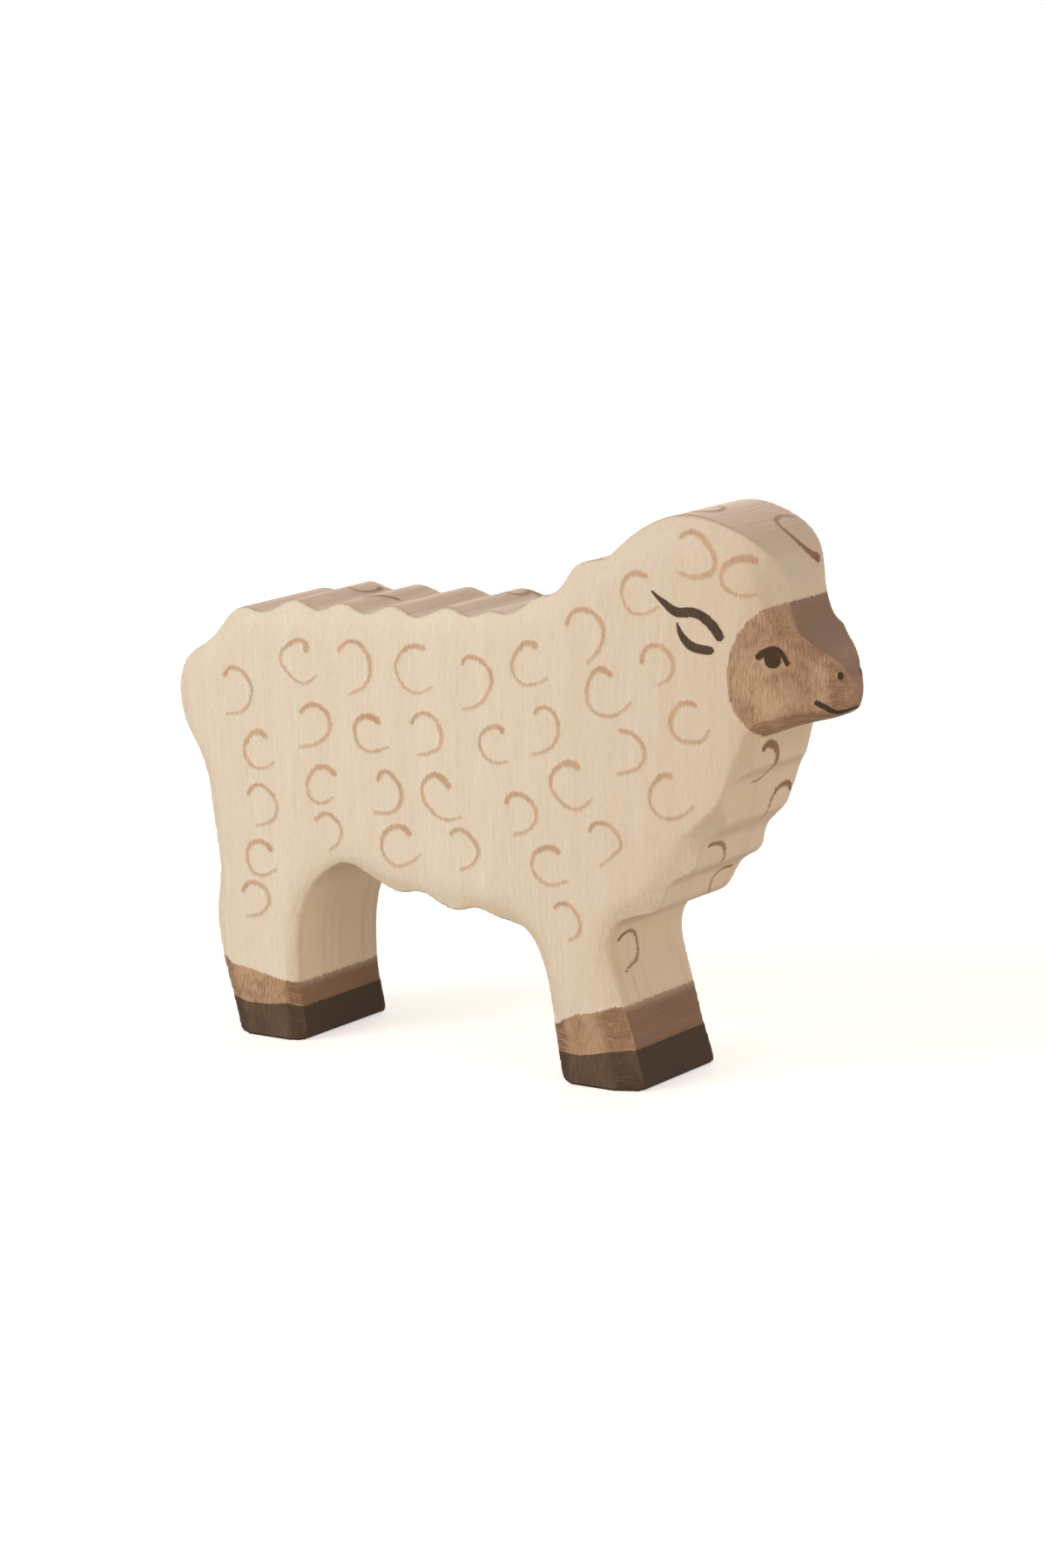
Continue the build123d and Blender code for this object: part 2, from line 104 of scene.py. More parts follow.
# Finishes, each one laid on the maple under it
maple = {
    # hard pale maple, planed and fine sanded: close fibres along Z, no open pores, a silky matte
    "light": "#DCD4C0",
    "tints": {
        # laid over the light wood one after the other
        "dark": "#CBBAA4",
        "blush": "#D6BFA9",          # pinkish columns where the summer wood lies near the surface
        "warmth": "#F3ECE9",         # painted shade: what the colour is multiplied by toward the head, darker and warmer there
        "edge": "#D8C3AB",           # warmer and darker on the sawn faces: partly the sawn wood's own colour and partly painted warm shade
        "ring": "#C39A74",           # yearly rings that show as faint warm lines on a sawn face
        "slope": "#C4AB8E",          # the sanded slope round each flat side, darker partly from the sanding and partly as painted shade where it does not face up
        "end": "#B3957B",            # sawn across the fibres it goes darker and greyer
    },
    "patterns": {
        # mm along x, y and z; detail; roughness
        "fibre": ((0.4, 0.4, 7.0), 3.0, 0.6),     # a real one is finer: as coarse as it needs to show
        "column": ((3.5, 9.0, 60.0), 2.0, 0.5),   # soft upright bands
        "blush": ((2.45, 6.3, 42.0), 1.0, 0.5),
        "fleck": ((0.3, 0.3, 1.1), 1.0, 0.5),     # ray flecks, drawn coarser than real ones as well
        "saw": ((0.45, 14.0, 0.45), 2.0, 0.6),    # marks that the saw left across the board's edge
        "ring": ((6.0, 1.6, 90.0), 1.0, 0.5),
    },
    "weights": {"column": 0.35, "fibre": 0.65, "fleck": 0.4},   # of the patterns in the wood's tone
    "shows": {
        # the range of a pattern, and the shares that its ends give where these aren't 0 and 1
        "tone": (0.4, 1.1),
        "blush": (0.4, 0.75, 0.0, 0.3),
        "ring": (0.52, 0.72, 0.0, 0.26),
        "fleck": (0.35, 0.65, 0.1, 0.42),         # on the sanded slope
        "saw": (0.3, 0.7, 0.65, 1.0),             # on the end grain
    },
    "edgeShadeShare": 0.8,                # of the warmer colour on the sawn faces, with its painted warm shade
    "headwardShadeFrom": (0.0, 48.0),         # mm along X that the painted shade toward the head grows over
    "brow": (49.0, 82.0, 7.0),       # mm; x, z, reach: painted light on the forehead, which drops the darker tints of the sawn faces and the slope and stays as pale as the sides
    "tilt": (0.97, 0.93),            # how far from flat a face leans to count as slope
    "roughness": 0.62,               # sanded, neither oiled nor lacquered
    "sheen": 0.35,                   # specular level
    "ior": 1.47,
    "relief": 0.03,                  # mm
    "reliefShare": 0.5,              # of that which shows
}
faceStain = {
    # brown water stain on bare maple: it sinks in, so fibres and blotches show through it
    "light": "#BFA085",
    "dark": "#88684F",
    "slope": "#7F6149",              # the rougher slope under the jaw drinks more, and carries painted shade as well where it faces down
    "tilt": (0.80, 0.74),
    "edge": "#836A58",               # and so does the sawn edge
    "streak": (0.17, 0.17, 1.3),     # mm; fibres in the stain, in all coats coarser than real, to show
    "scratch": 0.2,                  # share of the marks that the sanding block left across the fibres
    "blotch": (5.0, 8.0, 5.0),       # mm; where the wet brush lay
    # mm; x, z, reach of the places where the brush ran dry
    "thin": [(48.3, 62.5, 6.0), (54.6, 67.6, 3.5), (58.8, 64.0, 3.5), (43.8, 66.0, 3.5)],
    "creep": 0.3,                    # mm that the edge runs along the fibres
    "soft": 0.22,                    # mm from bare to full
    "cover": 1.0,                    # share of what lies under it that it hides
    "roughness": 0.7,
    "sheen": 0.3,
}
legStain = {
    # the same stain, thinned, so the wood's marks are a little stronger in it
    "light": "#B9987A",
    "dark": "#917258",
    "slope": "#74553F",
    "tilt": (0.985, 0.95),
    "edge": "#7E604D",
    "streak": (0.2, 0.2, 1.2),
    "scratch": 0.35,
    "blotch": (3.0, 8.0, 4.0),
    "thin": [(-45.0, 8.5, 8.0)],
    "creep": 0.3,
    "soft": 0.25,
    "wash": 0.32,                    # share that is missing along the rim on the sawn faces
    "cover": 1.0,
    "roughness": 0.7,
    "sheen": 0.3,
}
hoofPaint = {
    # matte dark brown paint, thin enough for the fibres to show as faint streaks
    "light": "#655343",
    "dark": "#524134",
    "slope": "#44352A",
    "tilt": (0.985, 0.95),
    "edge": "#463930",
    "streak": (0.3, 0.3, 2.0),
    "scratch": 0.4,
    "blotch": (4.0, 6.0, 4.0),
    "thin": [],
    "creep": 0.12,
    "soft": 0.12,
    "cover": 1.0,
    "roughness": 0.75,
    "sheen": 0.15,
}
ink = {
    # the same paint from a fine brush, for ears, eyes, nostrils and mouth: dark, matte and even
    "light": "#4B3B2D",
    "dark": "#3B2D21",
    "slope": "#3B2D21",
    "tilt": (0.97, 0.93),
    "edge": "#35291F",
    "streak": (0.3, 0.3, 1.5),
    "scratch": 0.0,
    "blotch": (2.0, 2.0, 2.0),
    "thin": [],
    "creep": 0.08,
    "soft": 0.12,
    "cover": 0.97,
    "roughness": 0.7,
    "sheen": 0.15,
}
curlPaint = {
    # thin tan paint dragged over the fibres: toothed edges where it runs up and down the grain
    "light": "#C69C78",
    "dark": "#98704F",
    "slope": "#AB8563",
    "tilt": (0.97, 0.93),
    "edge": "#744724",
    "streak": (0.2, 0.2, 1.4),
    "scratch": 0.0,
    "blotch": (2.5, 2.5, 2.5),
    "thin": [],
    "creep": 0.3,
    "soft": 0.3,
    "cover": 0.92,
    "dry": 0.42,                     # share that is missing between the fibres
    "fade": 0.3,                     # share of the paint that is used up at the thin end
    "roughness": 0.66,
    "sheen": 0.3,
}
coats = {
    # what all the coats have in common
    "streakNoise": (3.0, 0.65),      # detail and roughness
    "blotchNoise": (2.0, 0.5),
    "scratch": ((1.8, 1.8, 0.2), 2.0, 0.6),       # mm, detail and roughness, as in the maple
    "teeth": ((0.16, 0.4, 1.2), 2.0, 0.7),        # the fibres that the edge runs along
    "weights": (1.3, 0.9, -0.15),    # of streak and blotch in the tone, and what is added
    # ranges as in the maple
    "tone": (0.68, 1.27),            # from dark to light
    "rough": (0.4, 0.7, 1.0, 0.3),   # scratches on the slope
    "soaked": (0.35, 0.65, 0.85, 1.0),            # saw marks on the sawn edge
    "bare": (0.75, 1.15, 0.0, 0.65),              # where the brush ran dry
    "dragged": (0.35, 0.6),          # streaks that dry paint misses
    "teethGain": 4,                  # as the noise swings by about a quarter each way
    "rim": (0.1, 1.2),               # mm inside the edge over which a washed rim fills up
}
turns = {
    # ranges of how far a face looks to the side or up
    "edge": (0.55, 0.3),             # less to the side than this and it is the sawn edge
    "end": (0.5, 0.95),              # more up or down and the saw cut across the fibres there
    "low": (0.25, 0.0, 0.12, 1.0),   # painted shade: a slope that looks up takes little of the slope's darker tint, one that looks sideways or down takes all of it
}


def addPatterns(tree, place, patterns):
    # a noise for each, with cells of its size in mm
    marks = {}
    for name, (size, detail, roughness) in patterns.items():
        scaled = addNode(tree, "ShaderNodeMapping", {"Vector": place, "Scale": [s * mm for s in size]},
                         vector_type="TEXTURE")
        marks[name] = addNode(tree, "ShaderNodeTexNoise", {
            "Vector": scaled, "Scale": 1.0, "Detail": detail, "Roughness": roughness,
        })
    return marks


def addFaces(tree):
    # the way a face looks tells flat side, sanded slope and sawn edge apart
    normal = addNode(tree, "ShaderNodeNewGeometry", output="Normal")
    parts = addNode(tree, "ShaderNodeSeparateXYZ", normal).node.outputs
    side = addNode(tree, "ShaderNodeMath", parts["Y"], operation="ABSOLUTE")
    up = addNode(tree, "ShaderNodeMath", parts["Z"], operation="ABSOLUTE")
    return {
        "side": side,
        "edge": addNode(tree, "ShaderNodeMapRange", side, *turns["edge"]),
        "end": addNode(tree, "ShaderNodeMapRange", up, *turns["end"]),
        "low": addNode(tree, "ShaderNodeMapRange", parts["Z"], *turns["low"]),
    }


def sandingAndShade(tree, faces, tilt):
    # the sanded slope's tint, with painted shade: weaker where the slope faces up, full where it faces
    # sideways or down
    leans = addNode(tree, "ShaderNodeMapRange", faces["side"], *tilt)
    leans = addNode(tree, "ShaderNodeMath", leans, faces["low"], operation="MULTIPLY")
    flat = addNode(tree, "ShaderNodeMath", 1.0, faces["edge"], operation="SUBTRACT")
    return addNode(tree, "ShaderNodeMath", leans, flat, operation="MULTIPLY")


def nearSpot(tree, place, x, z, reach):
    # 1 at a place seen from the side, down to 0 at reach from it, all in mm
    flat = addNode(tree, "ShaderNodeVectorMath", place, (1, 0, 1), operation="MULTIPLY")
    spot = (x * mm, 0, z * mm)
    away = addNode(tree, "ShaderNodeVectorMath", flat, spot, operation="DISTANCE", output="Value")
    return addNode(tree, "ShaderNodeMapRange", away, reach * mm, 0.0, interpolation_type="SMOOTHSTEP")


def addMaple(tree, place, faces):
    # the wood's colour and marks, with its painted light and shade, the same in every finish, so that a
    # film melts into the board
    marks = addPatterns(tree, place, maple["patterns"])
    shows = {
        name: addNode(tree, "ShaderNodeMapRange", marks[name], *maple["shows"][name])
        for name in ("blush", "ring", "fleck", "saw")
    }
    tone = 0.0
    for name, weight in maple["weights"].items():
        tone = addNode(tree, "ShaderNodeMath", marks[name], weight, tone, operation="MULTIPLY_ADD")
    along = addNode(tree, "ShaderNodeSeparateXYZ", place)
    # painted light round the forehead: the painted shade of the sawn faces and the slope is left off there
    kept = addNode(tree, "ShaderNodeMath", 1.0, nearSpot(tree, place, *maple["brow"]), operation="SUBTRACT")
    sawn = addNode(tree, "ShaderNodeMath", faces["edge"], kept, operation="MULTIPLY")
    upright = addNode(tree, "ShaderNodeMath", sawn, faces["end"], operation="SUBTRACT")
    # the slope's tint: sanding marks, and painted shade where the slope does not face up
    slope = sandingAndShade(tree, faces, maple["tilt"])
    slope = addNode(tree, "ShaderNodeMath", slope, shows["fleck"], operation="MULTIPLY")
    shares = {
        "dark": addNode(tree, "ShaderNodeMapRange", tone, *maple["shows"]["tone"]),
        "blush": shows["blush"],
        # painted shade, darker and warmer toward the head
        "warmth": addNode(tree, "ShaderNodeMapRange", along, *[x * mm for x in maple["headwardShadeFrom"]]),
        # partly the sawn wood's own colour and partly painted warm shade, on the sawn faces
        "edge": addNode(tree, "ShaderNodeMath", sawn, maple["edgeShadeShare"], operation="MULTIPLY"),
        "ring": addNode(tree, "ShaderNodeMath", shows["ring"], upright, operation="MULTIPLY"),
        "slope": addNode(tree, "ShaderNodeMath", slope, kept, operation="MULTIPLY"),
        "end": addNode(tree, "ShaderNodeMath", faces["end"], shows["saw"], operation="MULTIPLY"),
    }
    color = hexColor(maple["light"])
    for name, tint in maple["tints"].items():
        way = "MULTIPLY" if name == "warmth" else "MIX"
        color = addNode(tree, "ShaderNodeMix", {0: shares[name], 6: color, 7: hexColor(tint)},
                        data_type="RGBA", blend_type=way, output=2)
    return color, marks


def addCoat(tree, place, faces, under, saw, finish, depth):
    # one layer of stain or paint over what is under it; depth is mm inside its edge, None covers all
    marks = addPatterns(tree, place, {
        "streak": (finish["streak"], *coats["streakNoise"]),
        "blotch": (finish["blotch"], *coats["blotchNoise"]),
        "scratch": coats["scratch"],
    })
    streakWeight, blotchWeight, tone = coats["weights"]
    tone = addNode(tree, "ShaderNodeMath", marks["streak"], streakWeight, tone, operation="MULTIPLY_ADD")
    tone = addNode(tree, "ShaderNodeMath", marks["blotch"], blotchWeight, tone, operation="MULTIPLY_ADD")
    swing = addNode(tree, "ShaderNodeMath", marks["scratch"], 0.5, operation="SUBTRACT")   # about 0
    tone = addNode(tree, "ShaderNodeMath", swing, finish["scratch"], tone, operation="MULTIPLY_ADD")
    # the slope's tint from sanding, with painted shade where the slope does not face up
    slope = sandingAndShade(tree, faces, finish["tilt"])
    rough = addNode(tree, "ShaderNodeMapRange", marks["scratch"], *coats["rough"])
    soaked = addNode(tree, "ShaderNodeMapRange", saw, *coats["soaked"])
    tints = [
        ("light", addNode(tree, "ShaderNodeMapRange", tone, *coats["tone"])),
        ("slope", addNode(tree, "ShaderNodeMath", slope, rough, operation="MULTIPLY")),
        ("edge", addNode(tree, "ShaderNodeMath", faces["edge"], soaked, operation="MULTIPLY")),
    ]
    for spot in finish["thin"]:
        bare = addNode(tree, "ShaderNodeMapRange", tone, *coats["bare"])
        near = nearSpot(tree, place, *spot)
        tints.append(("light", addNode(tree, "ShaderNodeMath", near, bare, operation="MULTIPLY")))
    color = hexColor(finish["dark"])
    for name, share in tints:
        color = addNode(tree, "ShaderNodeMix", {0: share, 6: color, 7: hexColor(finish[name])},
                        data_type="RGBA", output=2)
    if depth is None:
        return color

    # the edge runs along the fibres
    creep = finish["creep"] * coats["teethGain"]
    teeth = addPatterns(tree, place, {"teeth": coats["teeth"]})["teeth"]
    teeth = addNode(tree, "ShaderNodeMath", teeth, 0.5, operation="SUBTRACT")
    teeth = addNode(tree, "ShaderNodeMath", teeth, creep, operation="MULTIPLY")
    inside = addNode(tree, "ShaderNodeMath", depth, teeth, operation="ADD")
    soft = finish["soft"] / 2
    cover = addNode(tree, "ShaderNodeMapRange", inside, -soft, soft, 0.0, finish["cover"],
                    interpolation_type="SMOOTHSTEP")
    # a washed rim, dry paint between the fibres and the thin end each take some of it away
    wash, dry, fade = (finish.get(name, 0.0) for name in ("wash", "dry", "fade"))
    washed = addNode(tree, "ShaderNodeMath", faces["edge"], -wash, 1.0, operation="MULTIPLY_ADD")
    dried = addNode(tree, "ShaderNodeMath", faces["edge"], 1.0, operation="SUBTRACT")
    dried = addNode(tree, "ShaderNodeMath", dried, dry, 1.0, operation="MULTIPLY_ADD")
    along = addNode(tree, "ShaderNodeAttribute", attribute_name="along", output="Fac")
    left = (
        addNode(tree, "ShaderNodeMapRange", inside, *coats["rim"], washed),
        addNode(tree, "ShaderNodeMapRange", marks["streak"], *coats["dragged"], dried),
        addNode(tree, "ShaderNodeMath", along, -fade, 1.0, operation="MULTIPLY_ADD"),
    )
    for share in left:
        cover = addNode(tree, "ShaderNodeMath", cover, share, operation="MULTIPLY")
    return addNode(tree, "ShaderNodeMix", {0: cover, 6: under, 7: color}, data_type="RGBA", output=2)


def makeFinish(name, layers):
    # maple, then each layer; only the top one has an edge of its own
    material = bpy.data.materials.new(name)
    material.use_nodes = True
    tree = material.node_tree
    tree.nodes.clear()
    place = addNode(tree, "ShaderNodeTexCoord", output="Object")
    depth = addNode(tree, "ShaderNodeAttribute", attribute_name="depth", output="Fac")
    faces = addFaces(tree)
    color, marks = addMaple(tree, place, faces)
    for layer in layers:
        edge = depth if layer is layers[-1] else None
        color = addCoat(tree, place, faces, color, marks["saw"], layer, edge)
    top = layers[-1] if layers else maple
    relief = addNode(tree, "ShaderNodeMix", {0: faces["edge"], 6: marks["fibre"], 7: marks["saw"]},
                     data_type="RGBA", output=2)
    bump = addNode(tree, "ShaderNodeBump", {
        "Height": relief, "Strength": maple["reliefShare"], "Distance": maple["relief"] * mm,
    })
    shader = addNode(tree, "ShaderNodeBsdfPrincipled", {
        "Base Color": color, "Roughness": top["roughness"], "IOR": maple["ior"],
        "Specular IOR Level": top["sheen"], "Normal": bump,
    })
    addNode(tree, "ShaderNodeOutputMaterial", shader)
    return material


finishes = {
    "pale_wood": makeFinish("sandedMaple", []),
    "brown_stain": makeFinish("brownWaterStain", [faceStain]),
    "leg_stain": makeFinish("thinBrownStain", [legStain]),
    "hoof_paint": makeFinish("darkHoofPaint", [legStain, hoofPaint]),
    "dark_paint": makeFinish("darkInkOnMaple", [ink]),
    "face_paint": makeFinish("darkInkOnStain", [faceStain, ink]),
    "curl_paint": makeFinish("tanCurlPaint", [curlPaint]),
}
print("finishes made")

# The board
board = {
    "doubles": 0.001,         # mm; corners of the CAD's loose triangles that are one point
    "voxel": 0.5,             # mm; fine enough to keep the sawn waves
    "sanding": 1,             # smoothing passes over everything, which round the corners to about 0.3 mm
    "rimSanding": 60,         # passes where the flat sides turn into the slope round them
    "rimTurn": (0.75, 0.1),   # how far a face looks to the side where these start, and over which they grow
    "nose": (54.5, 57.5, 68.0, 9),   # mm: rounded further from the first x to the second, up to z; passes
    "crease": 35,             # degrees; a film's own rim stays sharp
}


def plainMesh(draft, name):
    # the evaluated draft as a plain smooth mesh of its own
    graph = bpy.context.evaluated_depsgraph_get()
    mesh = bpy.data.meshes.new_from_object(draft.evaluated_get(graph))
    mesh.name = name
    piece = bpy.data.objects.new(name, mesh)
    bpy.context.scene.collection.objects.link(piece)
    bpy.data.objects.remove(draft)
    mesh.shade_smooth()
    return piece


def dress(piece, node):
    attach(piece, "root")
    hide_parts(node)


def readPoints(mesh, name):
    # places or normals, one row for each vertex
    values = np.empty(len(mesh.vertices) * 3)
    mesh.vertices.foreach_get(name, values)
    return values.reshape(-1, 3)


def soften(mesh, places, shares, passes):
    # moves each vertex half way to the middle of its neighbours, times its share
    ends = np.empty(len(mesh.edges) * 2, int)
    mesh.edges.foreach_get("vertices", ends)
    one, other = ends.reshape(-1, 2).T
    uses = np.bincount(ends)
    for _ in range(passes):
        for axis in range(3):
            line = places[:, axis]
            sums = np.bincount(one, line[other], len(line)) + np.bincount(other, line[one], len(line))
            places[:, axis] = line + (sums / uses - line) * shares * 0.5


def makeBoard(settings):
    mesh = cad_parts["wood_body"].data.copy()
    bm = bmesh.new()
    bm.from_mesh(mesh)
    bmesh.ops.remove_doubles(bm, verts=bm.verts, dist=settings["doubles"] * mm)
    bm.to_mesh(mesh)
    bm.free()
    sawn = bpy.data.objects.new("sawnBoard", mesh)
    draft = bpy.data.objects.new("boardDraft", mesh)
    bpy.context.scene.collection.objects.link(sawn)
    bpy.context.scene.collection.objects.link(draft)
    remesh = draft.modifiers.new("remesh", "REMESH")
    remesh.mode = "VOXEL"
    remesh.voxel_size = settings["voxel"] * mm
    wrap = draft.modifiers.new("fit", "SHRINKWRAP")       # takes the voxels' steps out again
    wrap.target = sawn
    piece = plainMesh(draft, "woodenBoard")
    bpy.data.objects.remove(sawn)
    mesh = piece.data
    places = readPoints(mesh, "co")
    side = np.abs(readPoints(mesh, "normal")[:, 1])
    soften(mesh, places, np.ones(len(side)), settings["sanding"])
    start, width = settings["rimTurn"]
    soften(mesh, places, np.clip((side - start) / width, 0, 1), settings["rimSanding"])
    x, full, top, passes = settings["nose"]
    shares = np.clip((places[:, 0] / mm - x) / (full - x), 0, 1) * (places[:, 2] < top * mm)
    soften(mesh, places, shares, passes)
    mesh.vertices.foreach_set("co", places.ravel())
    mesh.update()
    mesh.materials.clear()
    mesh.materials.append(finishes["pale_wood"])
    return piece


wood = makeBoard(board)
dress(wood, "wood_body")
bpy.context.view_layer.update()
woodTree = BVHTree.FromObject(wood, bpy.context.evaluated_depsgraph_get())
print("board sanded:", len(wood.data.polygons), "faces")

# Stained zones, as films over the wood
film = {
    "lift": 0.04,             # mm above the wood
    "sink": 0.05,             # mm that the rim and the underside lie in the wood
    "margin": 1.2,            # mm of clear film round the stain, for its edge to run in
    "overlap": 1.0,           # mm that a leg's stain reaches under the hoof's paint
    "outside": -9.0,          # mm; well clear of any film
    "sole": (-0.9, 0.1),      # a face that looks down this far, less than this many mm up, stays bare
}


def insideLine(line):
    # a coat inside one closed line, seen from the side
    def inside(x, z):
        # mm inside the line, negative outside it
        nearest = np.full(x.shape, np.inf)
        within = np.zeros(x.shape, bool)
        for (x1, z1), (x2, z2) in zip(line, line[1:] + line[:1]):
            dx, dz = x2 - x1, z2 - z1
            share = np.clip(((x - x1) * dx + (z - z1) * dz) / (dx * dx + dz * dz), 0, 1)
            nearest = np.minimum(nearest, np.hypot(x - x1 - share * dx, z - z1 - share * dz))
            if dz:
                within ^= ((z1 > z) != (z2 > z)) & (x < x1 + (z - z1) / dz * dx)
        return np.where(within, nearest, -nearest)
    return inside


def heightOf(line, x):
    return np.interp(x, [p[0] for p in line], [p[1] for p in line])


def onLeg(line, hoof, front):
    # the coat of one leg from its top line down, to a little under the hoof's line where one is given
    def inside(x, z):
        depth = heightOf(line, x) - z
        if hoof:
            depth = np.where(z < heightOf(hoof, x) - film["overlap"], film["outside"], depth)
        return np.where((x > 0) == front, depth, film["outside"])
    return inside


def makeFilm(name, inside, slot, node, lift):
    mesh = wood.data
    places = readPoints(mesh, "co")
    normals = readPoints(mesh, "normal")
    quads = np.empty(len(mesh.loops), int)
    mesh.loops.foreach_get("vertex_index", quads)
    quads = quads.reshape(-1, 4)
    depth = inside(places[:, 0] / mm, places[:, 2] / mm)
    down, low = film["sole"]
    sole = (normals[:, 2] < down) & (places[:, 2] < low * mm)
    quads = quads[(depth[quads].min(axis=1) > -film["margin"]) & ~sole[quads].all(axis=1)]
    while True:
        # the rim, and no strip that is only one face wide, because its two skins would meet
        edges = np.sort(np.stack([quads, np.roll(quads, -1, axis=1)], axis=2).reshape(-1, 2), axis=1)
        edges, index, uses = np.unique(edges, axis=0, return_inverse=True, return_counts=True)
        rim = np.unique(edges[uses == 1])
        pinched = (uses == 2) & np.isin(edges, rim).all(axis=1)
        narrow = pinched[index.reshape(-1, 4)].any(axis=1)
        if not narrow.any():
            break
        quads = quads[~narrow]
    rim = set(rim)
    upper, lower, verts, depths = {}, {}, [], []
    for v in np.unique(quads):
        rise = 0.0 if v in rim else min(max(depth[v] / film["margin"] + 1, 0.0), 1.0)
        heights = [lift * rise - film["sink"] * (1 - rise)]
        if v not in rim:
            heights.append(-film["sink"])
        upper[v] = len(verts)
        for height in heights:
            place = Vector(places[v]) + Vector(normals[v]) * height * mm
            place.z = max(place.z, 0.0)
            verts.append(place)
            depths.append(depth[v])
        lower[v] = len(verts) - 1
    faces = [[upper[v] for v in quad] for quad in quads]
    faces += [[lower[v] for v in quad[::-1]] for quad in quads]
    mesh = bpy.data.meshes.new(name)
    mesh.from_pydata(verts, [], faces)
    mesh.attributes.new("depth", "FLOAT", "POINT").data.foreach_set("value", depths)
    mesh.materials.append(finishes[slot])
    mesh.shade_smooth()
    piece = bpy.data.objects.new(name, mesh)
    bpy.context.scene.collection.objects.link(piece)
    dress(piece, node)


faceFilm = {
    # seen from the side, mm: the stain's edge from the forehead down the cheek to the throat
    "edge": [
        (80, 77.7), (50.5, 77.7), (48.8, 77.2), (47.0, 76.5), (45.3, 75.0), (43.8, 72.9), (42.8, 70.4),
        (42.3, 68.0), (42.3, 65.9), (42.6, 63.1), (43.5, 60.8), (45.0, 58.8), (46.7, 56.9), (46.9, 50),
        (80, 50),
    ],
}
makeFilm("faceStainFilm", insideLine(faceFilm["edge"]), "brown_stain", "face_stain", film["lift"])

legFilms = {
    # top lines of bands and hooves along each leg, mm: place along the sheep and height
    "frontBand": [
        (12.5, 9.0), (14.1, 10.1), (16.4, 11.1), (20.3, 12.0), (22.2, 12.8), (23.9, 12.9), (26, 12.7),
    ],
    "frontHoof": [
        (13.1, 4.8), (17.1, 4.8), (19.7, 5.3), (22.2, 5.9), (25.2, 6.3), (26.6, 6.3), (28.5, 5.9),
    ],
    "rearBand": [(-49.5, 12.1), (-48.7, 11.2), (-45.8, 11.0), (-42.2, 10.4), (-39.5, 9.8), (-35.3, 9.2)],
    "rearHoof": [(-47.7, 5.7), (-45.1, 5.3), (-41.6, 5.4), (-37.7, 5.9), (-35.3, 5.4)],
    "hoofLift": 2,            # the hoof's paint lies this many times as high as its stain
}
frontStain = onLeg(legFilms["frontBand"], legFilms["frontHoof"], True)
rearStain = onLeg(legFilms["rearBand"], legFilms["rearHoof"], False)
frontPaint = onLeg(legFilms["frontHoof"], None, True)
rearPaint = onLeg(legFilms["rearHoof"], None, False)
hoofLift = film["lift"] * legFilms["hoofLift"]
makeFilm("frontLegStain", frontStain, "leg_stain", "front_leg_stain", film["lift"])
makeFilm("rearLegStain", rearStain, "leg_stain", "rear_leg_stain", film["lift"])
makeFilm("frontHoofPaint", frontPaint, "hoof_paint", "front_hoof_paint", hoofLift)
makeFilm("rearHoofPaint", rearPaint, "hoof_paint", "rear_hoof_paint", hoofLift)
print("stain films laid")

# Brush strokes, each from its blunt start to its thin end
stroke = {
    "pixel": 0.136,           # mm that a pixel of the photograph covers where the wood faces the camera
    "margin": 0.42,           # mm of clear film round the paint
    "lift": 0.05,             # mm above the wood
    "sink": 0.03,             # mm that its rim lies in the wood
    "step": 0.3,              # mm between cross rows
    "bends": 16,              # steps between two points of a line, before the rows are spaced
    "across": 9,              # points in one cross row
    "wobble": 0.12,           # share by which the hand changes the width
    "waves": 0.9,             # of that to a mm
    "thinnest": 0.06,         # share of the thickness at the clear film's edge
    "rim": (0.99, 0.01),      # the skins meet at this share of the width, and this many mm from the tips
    "dip": (-0.5, -1.0),      # sinks that the lower skin lies deeper where the paint is thick, and all over
    "merge": 0.0005,          # mm
}


def touch(pixel):
    # the place on the wood that lies behind one pixel of the photograph
    width, height = view["imageSize"]
    focal = view["lens"] / view["sensor"] * height
    ray = Vector(((pixel[0] - width / 2) / focal, (height / 2 - pixel[1]) / focal, -1.0))
    ray = (camera.matrix_world.to_3x3() @ ray).normalized()
    start = camera.matrix_world.translation
    return woodTree.ray_cast(start, ray)[0] or woodTree.find_nearest(start + ray * view["distance"])[0]


def placed(lines):
    return [[touch(pixel) for pixel in line] for line in lines]


def mirrored(line, drift=0.0, seed=0):
    # the same stroke on the far side, up to drift mm off, as a hand would
    hand = random.Random(seed)
    shift = Vector((hand.uniform(-drift, drift), 0, hand.uniform(-drift, drift))) * mm
    return [Vector((place.x, -place.y, place.z)) + shift for place in line]


